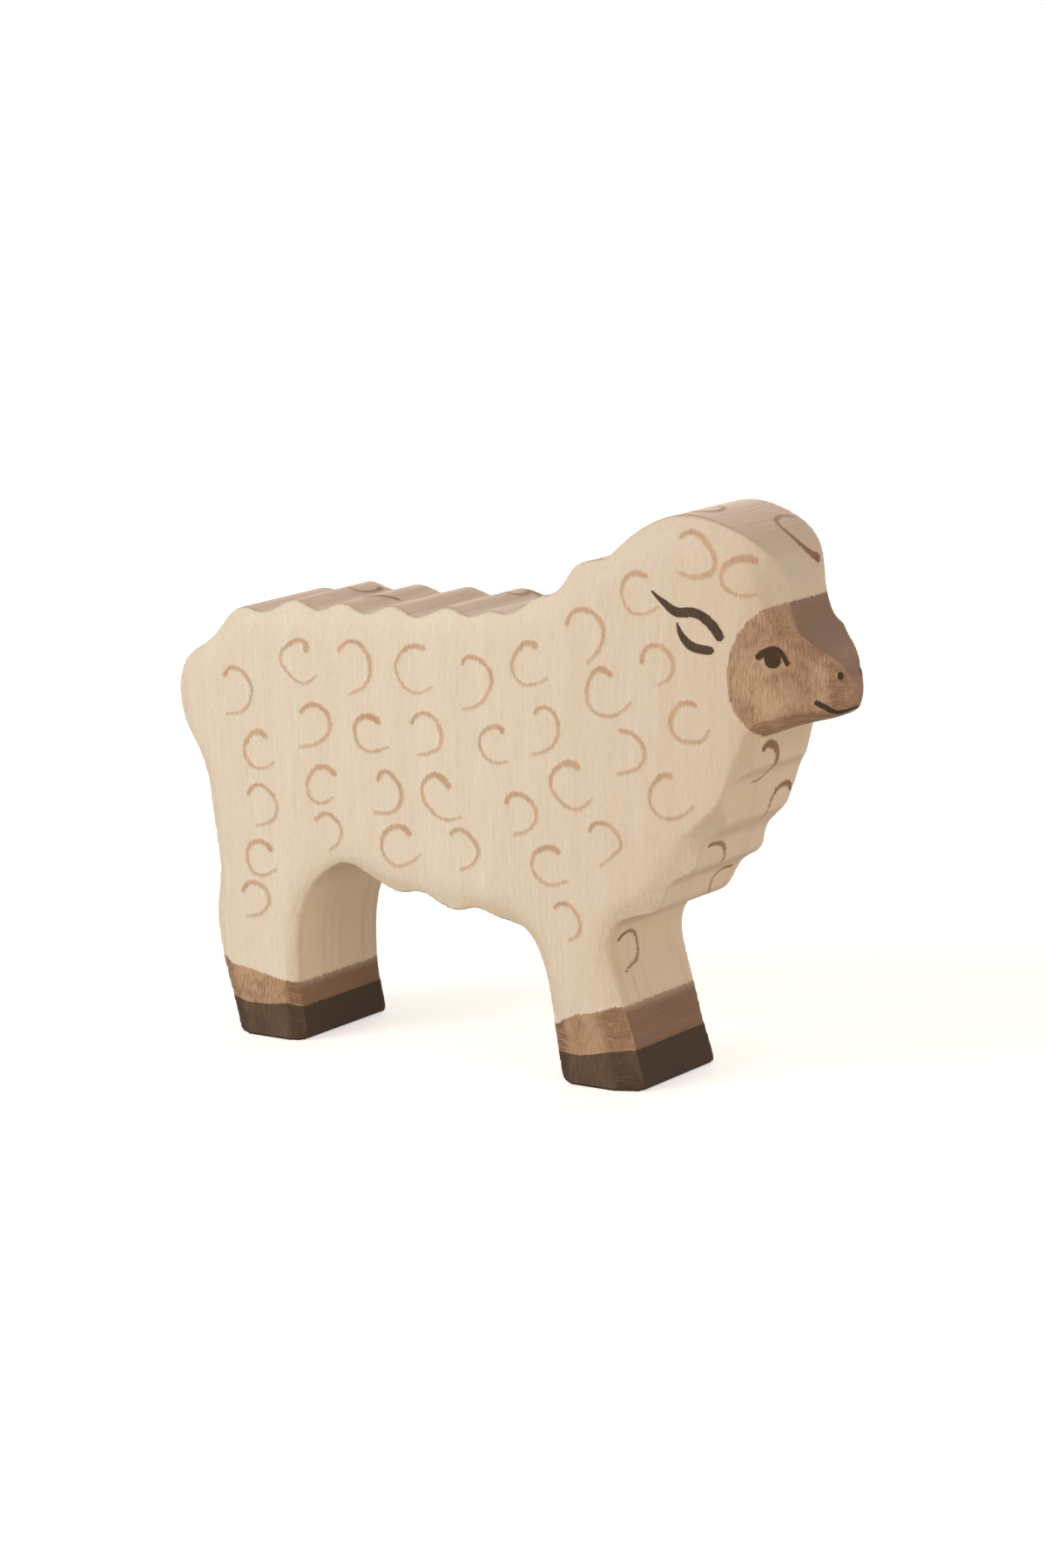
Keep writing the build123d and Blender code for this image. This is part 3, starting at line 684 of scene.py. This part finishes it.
def makeStrokeTree():
    tree = bpy.data.node_groups.new("brushStrokes", "GeometryNodeTree")
    wanted = {
        "Strokes": "Geometry", "Board": "Object", "Paint": "Material", "Step": "Float", "Margin": "Float",
        "Lift": "Float", "Sink": "Float", "Wobble": "Float",
    }
    for name, kind in wanted.items():
        tree.interface.new_socket(name, in_out="INPUT", socket_type="NodeSocket" + kind)
    tree.interface.new_socket("Film", in_out="OUTPUT", socket_type="NodeSocketGeometry")
    given = addNode(tree, "NodeGroupInput").node.outputs
    kept = {
        name: addNode(tree, "GeometryNodeInputNamedAttribute", {"Name": name},
                      data_type="FLOAT_VECTOR" if name == "outward" else "FLOAT")
        for name in ("outward", "halfWidth", "fromTip", "across", "depth")
    }

    # the board with its smooth normals kept by name, and the place on it next to each point
    normal = addNode(tree, "GeometryNodeInputNormal")
    wooden = addNode(tree, "GeometryNodeObjectInfo", {"Object": given["Board"]}, output="Geometry")
    wooden = addNode(tree, "GeometryNodeStoreNamedAttribute", {
        "Geometry": wooden, "Name": "outward", "Value": normal,
    }, data_type="FLOAT_VECTOR")
    outward = addNode(tree, "GeometryNodeSampleNearestSurface", {"Mesh": wooden, "Value": kept["outward"]},
                      data_type="FLOAT_VECTOR")
    nearest = addNode(tree, "GeometryNodeProximity", wooden, target_element="FACES")

    # each chain of points becomes a smooth run on the wood
    run = addNode(tree, "GeometryNodeMeshToCurve", given["Strokes"])
    run = addNode(tree, "GeometryNodeCurveSplineType", {"Curve": run}, spline_type="BEZIER")
    run = addNode(tree, "GeometryNodeCurveSetHandles", {"Curve": run}, handle_type="AUTO",
                  mode={"LEFT", "RIGHT"})
    run = addNode(tree, "GeometryNodeSetSplineResolution", {0: run, "Resolution": stroke["bends"]})
    run = addNode(tree, "GeometryNodeResampleCurve", {"Curve": run, "Length": given["Step"]}, mode="LENGTH")
    run = addNode(tree, "GeometryNodeSetPosition", {"Geometry": run, "Position": nearest})
    run = addNode(tree, "GeometryNodeSetCurveNormal", {"Curve": run, "Normal": outward}, mode="FREE")

    # the hand changes the width as it goes
    hand = addNode(tree, "ShaderNodeTexNoise", {"Scale": stroke["waves"] / mm, "Detail": 1.0})
    hand = addNode(tree, "ShaderNodeMath", hand, 0.5, operation="SUBTRACT")
    hand = addNode(tree, "ShaderNodeMath", hand, given["Wobble"], operation="MULTIPLY")
    hand = addNode(tree, "ShaderNodeMath", hand, 2.0, 1.0, operation="MULTIPLY_ADD")
    walked = addNode(tree, "GeometryNodeSplineParameter", output="Length")
    total = addNode(tree, "GeometryNodeSplineLength")
    toEnd = addNode(tree, "ShaderNodeMath", total, walked, operation="SUBTRACT")
    values = {
        "halfWidth": addNode(tree, "ShaderNodeMath", kept["halfWidth"], hand, operation="MULTIPLY"),
        "fromTip": addNode(tree, "ShaderNodeMath", walked, toEnd, operation="MINIMUM"),
        "along": walked.node.outputs["Factor"],
    }
    for name, value in values.items():
        run = addNode(tree, "GeometryNodeStoreNamedAttribute", {
            "Geometry": run, "Name": name, "Value": value,
        }, data_type="FLOAT")
    wide = addNode(tree, "ShaderNodeMath", kept["halfWidth"], given["Margin"], operation="ADD")

    # swept with a flat profile that runs from -1 to 1 across the stroke
    profile = addNode(tree, "GeometryNodeCurvePrimitiveLine", {"Start": (0, -1, 0), "End": (0, 1, 0)})
    profile = addNode(tree, "GeometryNodeResampleCurve", {"Curve": profile, "Count": stroke["across"]},
                      mode="COUNT")
    across = addNode(tree, "GeometryNodeSplineParameter", output="Factor")
    across = addNode(tree, "ShaderNodeMath", across, 2.0, -1.0, operation="MULTIPLY_ADD")
    profile = addNode(tree, "GeometryNodeStoreNamedAttribute", {
        "Geometry": profile, "Name": "across", "Value": across,
    }, data_type="FLOAT")
    swept = addNode(tree, "GeometryNodeCurveToMesh", {
        "Curve": run, "Profile Curve": profile, "Scale": wide, "Fill Caps": False,
    })

    # depth is the mm inside the painted outline, which has round tips
    aside = addNode(tree, "ShaderNodeMath", kept["across"], wide, operation="MULTIPLY")
    short = addNode(tree, "ShaderNodeMath", wide, kept["fromTip"], operation="SUBTRACT")
    short = addNode(tree, "ShaderNodeMath", short, 0.0, operation="MAXIMUM")
    short = addNode(tree, "ShaderNodeMath", short, short, operation="MULTIPLY")
    away = addNode(tree, "ShaderNodeMath", aside, aside, short, operation="MULTIPLY_ADD")
    away = addNode(tree, "ShaderNodeMath", away, operation="SQRT")
    depth = addNode(tree, "ShaderNodeMath", kept["halfWidth"], away, operation="SUBTRACT")
    depth = addNode(tree, "ShaderNodeMath", depth, mm, operation="DIVIDE")
    swept = addNode(tree, "GeometryNodeStoreNamedAttribute", {
        "Geometry": swept, "Name": "depth", "Value": depth,
    }, data_type="FLOAT")

    # the film's body: thin at the edge of its margin, and none where the two skins meet
    low = addNode(tree, "ShaderNodeMath", given["Margin"], -mm, operation="DIVIDE")
    body = addNode(tree, "ShaderNodeMapRange", kept["depth"], low, 0.0, stroke["thinnest"], 1.0,
                   interpolation_type="SMOOTHSTEP")
    side, tip = stroke["rim"]
    inner = addNode(tree, "ShaderNodeMath", kept["across"], operation="ABSOLUTE")
    inner = addNode(tree, "ShaderNodeMath", inner, side, operation="LESS_THAN")
    beyond = addNode(tree, "ShaderNodeMath", kept["fromTip"], tip * mm, operation="GREATER_THAN")
    inner = addNode(tree, "ShaderNodeMath", inner, beyond, operation="MULTIPLY")
    body = addNode(tree, "ShaderNodeMath", body, inner, operation="MULTIPLY")

    # its upper skin rises from the wood, the lower one lies in it, and they share their rim
    thick = addNode(tree, "ShaderNodeMath", given["Lift"], given["Sink"], operation="ADD")
    rise = addNode(tree, "ShaderNodeMath", body, thick, operation="MULTIPLY")
    rise = addNode(tree, "ShaderNodeMath", rise, given["Sink"], operation="SUBTRACT")
    dip = addNode(tree, "ShaderNodeMath", body, *stroke["dip"], operation="MULTIPLY_ADD")
    dip = addNode(tree, "ShaderNodeMath", dip, given["Sink"], operation="MULTIPLY")
    under = addNode(tree, "GeometryNodeFlipFaces", swept)
    skins = addNode(tree, "GeometryNodeJoinGeometry")
    for skin, height in ((swept, rise), (under, dip)):
        move = addNode(tree, "ShaderNodeVectorMath", {0: outward, "Scale": height}, operation="SCALE")
        place = addNode(tree, "ShaderNodeVectorMath", nearest, move, operation="ADD")
        skin = addNode(tree, "GeometryNodeSetPosition", {"Geometry": skin, "Position": place})
        tree.links.new(skin, skins.node.inputs[0])
    closed = addNode(tree, "GeometryNodeMergeByDistance", {
        "Geometry": skins, "Distance": stroke["merge"] * mm,
    })
    closed = addNode(tree, "GeometryNodeRealizeInstances", closed)
    closed = addNode(tree, "GeometryNodeSetMaterial", {"Geometry": closed, "Material": given["Paint"]})
    addNode(tree, "NodeGroupOutput", closed)
    return tree


strokeTree = makeStrokeTree()


def paintStrokes(name, slot, node, lines, widths, lift=1.0):
    # lines of places on the wood, each with its widths in pixels from start to end
    verts, edges, halves = [], [], []
    for line, spread in zip(lines, widths):
        first = len(verts)
        steps = np.linspace(0, len(spread) - 1, len(line))
        halves += list(np.interp(steps, range(len(spread)), spread) * stroke["pixel"] / 2 * mm)
        # the film runs on past both tips, as it does past the sides
        clear = stroke["margin"] * mm
        start = line[0] + (line[0] - line[1]).normalized() * clear
        end = line[-1] + (line[-1] - line[-2]).normalized() * clear
        verts += [start] + line[1:-1] + [end]
        edges += [(i, i + 1) for i in range(first, len(verts) - 1)]
    mesh = bpy.data.meshes.new(name + "Draft")
    mesh.from_pydata(verts, edges, [])
    mesh.attributes.new("halfWidth", "FLOAT", "POINT").data.foreach_set("value", halves)
    draft = bpy.data.objects.new(name + "Draft", mesh)
    bpy.context.scene.collection.objects.link(draft)
    brush = draft.modifiers.new("brush", "NODES")
    brush.node_group = strokeTree
    values = {
        "Board": wood, "Paint": finishes[slot], "Step": stroke["step"] * mm,
        "Margin": stroke["margin"] * mm, "Lift": stroke["lift"] * lift * mm,
        "Sink": stroke["sink"] * mm, "Wobble": stroke["wobble"],
    }
    for item in strokeTree.interface.items_tree:
        if item.name in values:
            brush[item.identifier] = values[item.name]
    piece = plainMesh(draft, name)
    piece.data.set_sharp_from_angle(angle=math.radians(board["crease"]))
    dress(piece, node)
    print(name, len(piece.data.polygons), "faces")


# Wool curls; all lines and widths of strokes are in pixels of the photograph
flankCurls = {
    "blot": (8.5, 6.0, 4.3, 4.0, 3.3),   # a curl that opens to the right starts with a blot
    "bow": (5.6, 5.2, 5.8, 4.6, 3.2),    # and one that opens to the left swells on its way down
    "press": (0.88, 1.12),               # how lightly and how hard the hand presses
    "seed": 4,
    "drift": 0.8,                        # mm that a curl on the far side is off its mirrored place
    "lines": [
        [(257, 776), (266, 766), (284, 778), (289, 793), (281, 814), (260, 819)],
        [(351, 749), (349, 737), (333, 739), (322, 755), (330, 771), (348, 784), (364, 775)],
        [(388, 748), (403, 736), (418, 745), (425, 765), (421, 784), (401, 797)],
        [(488, 745), (473, 742), (457, 755), (455, 771), (475, 795), (497, 788)],
        [(530, 763), (535, 755), (551, 758), (564, 775), (561, 794), (549, 809), (531, 814)],
        [(616, 745), (610, 738), (593, 749), (588, 765), (597, 783), (610, 786), (629, 778)],
        [(652, 718), (655, 706), (671, 700), (688, 711), (693, 729), (688, 745), (673, 762)],
        [(345, 819), (353, 810), (369, 812), (379, 830), (372, 848), (344, 858)],
        [(437, 830), (421, 822), (409, 830), (408, 845), (416, 859), (431, 862), (447, 857)],
        [(472, 831), (483, 819), (497, 823), (505, 836), (505, 856), (494, 864), (478, 866)],
        [(307, 846), (294, 840), (283, 851), (281, 862), (288, 877), (301, 882), (316, 874)],
        [(577, 843), (575, 836), (561, 836), (551, 848), (553, 862), (564, 874), (584, 874)],
        [(613, 820), (623, 812), (636, 819), (641, 836), (637, 853), (626, 862), (610, 866)],
        [(284, 913), (294, 901), (307, 906), (318, 924), (315, 939), (294, 948)],
        [(386, 890), (372, 880), (356, 890), (353, 905), (359, 918), (370, 922), (383, 914)],
        [(433, 897), (440, 886), (453, 893), (461, 911), (457, 927), (447, 933), (429, 932)],
        [(517, 905), (502, 890), (489, 895), (485, 911), (496, 931), (512, 941), (530, 937)],
        [(581, 923), (585, 914), (597, 912), (610, 921), (616, 934), (610, 950), (590, 958)],
        [(667, 882), (652, 876), (637, 885), (632, 898), (639, 914), (662, 929), (681, 916)],
        [(362, 942), (375, 934), (387, 942), (392, 955), (388, 968), (377, 976)],
        [(312, 978), (307, 970), (291, 967), (284, 981), (289, 998), (297, 1004), (318, 998)],
        [(278, 1024), (284, 1015), (297, 1014), (309, 1030), (304, 1045), (283, 1052)],
        [(470, 960), (466, 952), (450, 950), (439, 963), (440, 978), (453, 993), (470, 991), (484, 980)],
        [(517, 960), (525, 952), (540, 960), (549, 976), (544, 991), (528, 998)],
        [(642, 981), (639, 976), (619, 976), (611, 988), (613, 1001), (629, 1015), (652, 1011)],
        [(636, 1043), (645, 1037), (658, 1043), (666, 1063), (663, 1074), (653, 1079)],
        [(703, 777), (691, 768), (678, 778), (674, 794), (678, 812), (697, 822), (712, 818), (725, 806)],
        [(737, 762), (740, 747), (752, 741), (767, 749), (773, 765), (769, 778), (754, 786)],
        [(711, 839), (723, 841), (735, 851), (740, 864), (735, 880), (725, 885), (708, 889)],
        [(743, 662), (728, 658), (716, 668), (715, 686), (723, 701), (736, 705), (757, 696)],
        [(773, 893), (763, 890), (750, 901), (746, 914), (751, 930), (766, 940), (784, 936), (798, 923)],
        [(677, 956), (680, 948), (693, 945), (707, 955), (713, 970), (703, 983), (688, 995)],
    ],
}
nearCurls = placed(flankCurls["lines"])
hand = random.Random(flankCurls["seed"])
flankWidths = []
for line in flankCurls["lines"]:
    widths = flankCurls["blot" if line[0][0] > line[len(line) // 2][0] else "bow"]
    press = hand.uniform(*flankCurls["press"])
    flankWidths.append([w * press for w in widths])
farCurls = [mirrored(line, flankCurls["drift"], seed) for seed, line in enumerate(nearCurls)]
paintStrokes("rightFlankCurls", "curl_paint", "right_flank_curls", nearCurls, flankWidths)
paintStrokes("leftFlankCurls", "curl_paint", "left_flank_curls", farCurls, flankWidths)

headCurls = {
    "side": [
        [(780, 619), (788, 612), (800, 613), (813, 626), (820.5, 642), (819.5, 654), (809, 661),
         (793, 662), (778, 656)],
        [(870, 645), (864, 642), (845, 643), (833, 650), (828, 663), (833, 675), (843, 682),
         (855, 684), (869, 682)],
        [(800, 811), (788, 807), (774, 817), (770, 833), (778, 847), (793, 852), (807, 849), (814, 838)],
    ],
    "sideWidths": [(5.0, 6.0, 6.3, 6.3, 7.0, 3.0), (9.0, 8.5, 5.0, 4.0, 3.0), (6.5, 6.0, 5.0, 3.5)],
    "drift": 0.3,                        # mm, as on the flanks
    "crown": [
        [(942, 641), (931, 635), (914, 620), (893, 601), (892, 595), (898, 592), (912, 593)],
        [(793, 588), (817, 587), (831, 583), (824, 581)],
    ],
    "crownWidths": [(14.0, 9.5, 5.5, 5.0, 4.5), (7.5, 6.0, 4.5, 3.0)],
}
sideCurls = placed(headCurls["side"])
sideCurls += [mirrored(line, headCurls["drift"], seed) for seed, line in enumerate(sideCurls)]
sideCurls += placed(headCurls["crown"])
headWidths = headCurls["sideWidths"] * 2 + headCurls["crownWidths"]
paintStrokes("headCurls", "curl_paint", "head_curls", sideCurls, headWidths)

backCurls = {
    # each ends where the photograph stops showing it
    "lines": [
        [(438, 674), (434, 677), (424, 679), (411, 678), (397, 674)],
        [(460, 689), (449, 685.7), (437, 684), (426, 684.5), (417, 686)],
        [(612, 676), (611, 679), (603, 681.7), (591, 682), (578, 680)],
    ],
    "widths": [(7.5, 6.0, 4.5, 3.0)] * 3,
}
paintStrokes("backCurls", "curl_paint", "back_curls", placed(backCurls["lines"]), backCurls["widths"])

chestCurls = {
    "lines": [
        [(875, 863), (879, 856), (886, 854), (892, 861), (892, 871), (887, 880), (875, 891), (862, 898)],
        [(907, 907), (906, 900), (899, 900), (891, 907), (884, 922), (874, 939)],
        [(813, 971), (821, 968), (831, 971), (832, 979), (827, 990)],
        [(841, 993), (829, 997), (820, 1005), (816, 1014), (813, 1024)],
        [(709, 1080), (716, 1072), (725, 1068), (730, 1075), (732, 1088), (731, 1099), (725, 1107),
         (718, 1116)],
    ],
    "widths": [
        (9.0, 10.0, 7.0, 2.5), (9.5, 7.0, 4.5, 2.5), (6.5, 6.5, 6.0, 4.0), (5.0, 4.0, 3.5),
        (4.5, 5.0, 5.0, 2.5),
    ],
}
paintStrokes("chestCurls", "curl_paint", "chest_curls", placed(chestCurls["lines"]), chestCurls["widths"])

ear = {
    "lines": [
        [(828, 736), (823, 725), (813, 713), (799, 704), (776, 702), (763, 692), (748, 678)],
        [(820, 747), (809, 746), (795, 742), (784, 731), (777.5, 714.5)],
    ],
    "widths": [(10.5, 12.0, 12.0, 11.0, 11.0, 8.0, 1.5), (9.0, 10.5, 11.0, 9.0, 1.5)],
    "lift": 1.6,                         # times the height of a curl, as the paint is thicker
}
nearEar = placed(ear["lines"])
farEar = [mirrored(line) for line in nearEar]
paintStrokes("rightEarStrokes", "dark_paint", "right_ear_strokes", nearEar, ear["widths"], ear["lift"])
paintStrokes("leftEarStrokes", "dark_paint", "left_ear_strokes", farEar, ear["widths"], ear["lift"])

eye = {
    "lines": [
        [(868.5, 757), (875, 750.5), (882, 746.5), (891, 745.5), (898.5, 752), (904.5, 764.5)],   # lid
        [(887, 745), (887, 756), (887, 767.5)],                                                   # pupil
    ],
    "widths": [(8.5, 7.5, 7.0, 6.0, 5.5), (19.5, 18.0)],
    "lift": 2.2,                         # clear of the face's stain, as are the nostrils and the mouth
}
nearEye = placed(eye["lines"])
farEye = [mirrored(line) for line in nearEye]
paintStrokes("rightEye", "face_paint", "right_eye", nearEye, eye["widths"], eye["lift"])
paintStrokes("leftEye", "face_paint", "left_eye", farEye, eye["widths"], eye["lift"])

nostrils = {
    "near": [(964.8, 771), (964.8, 780.5)],
    "far": (1.0, -1.45, 0.1),            # mm off the mirrored place, so that it just shows past the nose
    "widths": [(7.5, 7.5), (9.0, 9.0)],
    "lift": 2.2,
}
nose = placed([nostrils["near"]])
nose += [[place + Vector(nostrils["far"]) * mm for place in mirrored(nose[0])]]
paintStrokes("nostrilDots", "face_paint", "nostrils", nose, nostrils["widths"], nostrils["lift"])

mouth = {
    "nearHalf": [(935, 805.5), (946, 811), (960.6, 817.4), (967, 816.7), (978, 813)],
    "widths": (6.5, 5.5, 5.0, 5.0, 5.5, 6.5),
    "lift": 2.2,
}
smile = placed([mouth["nearHalf"]])[0]
smile += mirrored(smile)[::-1]
paintStrokes("mouthLine", "face_paint", "mouth", [smile], [mouth["widths"]], mouth["lift"])
print("strokes painted")

# Table, backdrop and lamps
table = {
    "size": 2.8,              # metres
    "card": "#DFDAD1",
    "glow": 0.55,             # what the camera sees on top of the lit card, so that it reads white
    "clear": (0.3, 0.9),      # metres from the sheep over which this grows to 1, so that no edge shows
}


def seenByCamera(tree):
    # 1 for what the camera sees straight, in a gloss or through glass
    ray = addNode(tree, "ShaderNodeLightPath").node.outputs
    seen = addNode(tree, "ShaderNodeMath", ray["Is Camera Ray"], ray["Is Glossy Ray"], operation="MAXIMUM")
    return addNode(tree, "ShaderNodeMath", seen, ray["Is Transmission Ray"], operation="MAXIMUM")


def makeTable(settings):
    half = settings["size"] / 2
    mesh = bpy.data.meshes.new("tableTop")
    corners = [(-half, -half, 0), (half, -half, 0), (half, half, 0), (-half, half, 0)]
    mesh.from_pydata(corners, [], [(0, 1, 2, 3)])
    top = bpy.data.objects.new("tableTop", mesh)
    bpy.context.scene.collection.objects.link(top)
    # matte white card: it takes the sheep's shadow and has no gloss
    material = bpy.data.materials.new("whiteCard")
    material.use_nodes = True
    tree = material.node_tree
    tree.nodes.clear()
    card = addNode(tree, "ShaderNodeBsdfDiffuse", {"Color": hexColor(settings["card"])})
    place = addNode(tree, "ShaderNodeTexCoord", output="Object")
    away = addNode(tree, "ShaderNodeVectorMath", place, operation="LENGTH", output="Value")
    bright = addNode(tree, "ShaderNodeMapRange", away, *settings["clear"], settings["glow"], 1.0)
    bright = addNode(tree, "ShaderNodeMath", seenByCamera(tree), bright, operation="MULTIPLY")
    glow = addNode(tree, "ShaderNodeEmission", {"Strength": bright})
    both = addNode(tree, "ShaderNodeAddShader", card, glow)
    addNode(tree, "ShaderNodeOutputMaterial", both)
    mesh.materials.append(material)


makeTable(table)

room = {
    "light": (1.0, 0.97, 0.94, 1),       # linear, as lamps are
    "strength": 0.46,
    "white": 1.0,             # strength of the white that the camera sees behind the table
}


def makeRoom(settings):
    world = bpy.data.worlds.new("studio")
    bpy.context.scene.world = world
    world.use_nodes = True
    tree = world.node_tree
    tree.nodes.clear()
    light = addNode(tree, "ShaderNodeBackground", settings["light"], settings["strength"])
    white = addNode(tree, "ShaderNodeBackground", (1, 1, 1, 1), settings["white"])
    both = addNode(tree, "ShaderNodeMixShader", seenByCamera(tree), light, white)
    addNode(tree, "ShaderNodeOutputWorld", both)


makeRoom(room)

lamps = {
    # place, power in watts, size in metres, colour; all look at the middle of the sheep
    "key": ((-0.75, -1.10, 0.65), 11.6, 0.8, (1.0, 0.99, 1.0)),
    "fill": ((1.25, -0.50, 0.50), 4.8, 0.9, (1.0, 0.86, 0.74)),
    "low": ((0.75, -0.95, 0.10), 1.9, 0.5, (1.0, 0.76, 0.48)),
    "rear": ((-0.50, 1.30, 0.45), 9.5, 0.9, (1.0, 0.92, 0.84)),
}
for name, (place, power, size, color) in lamps.items():
    data = bpy.data.lights.new(name, "AREA")
    data.energy = power
    data.color = color
    data.shape = "DISK"
    data.size = size
    lamp = bpy.data.objects.new(name, data)
    lamp.location = place
    lamp.rotation_euler = (Vector(place) - Vector(view["target"])).to_track_quat("Z", "Y").to_euler()
    bpy.context.scene.collection.objects.link(lamp)
bpy.context.scene.view_settings.view_transform = "Standard"
print("stage ready")
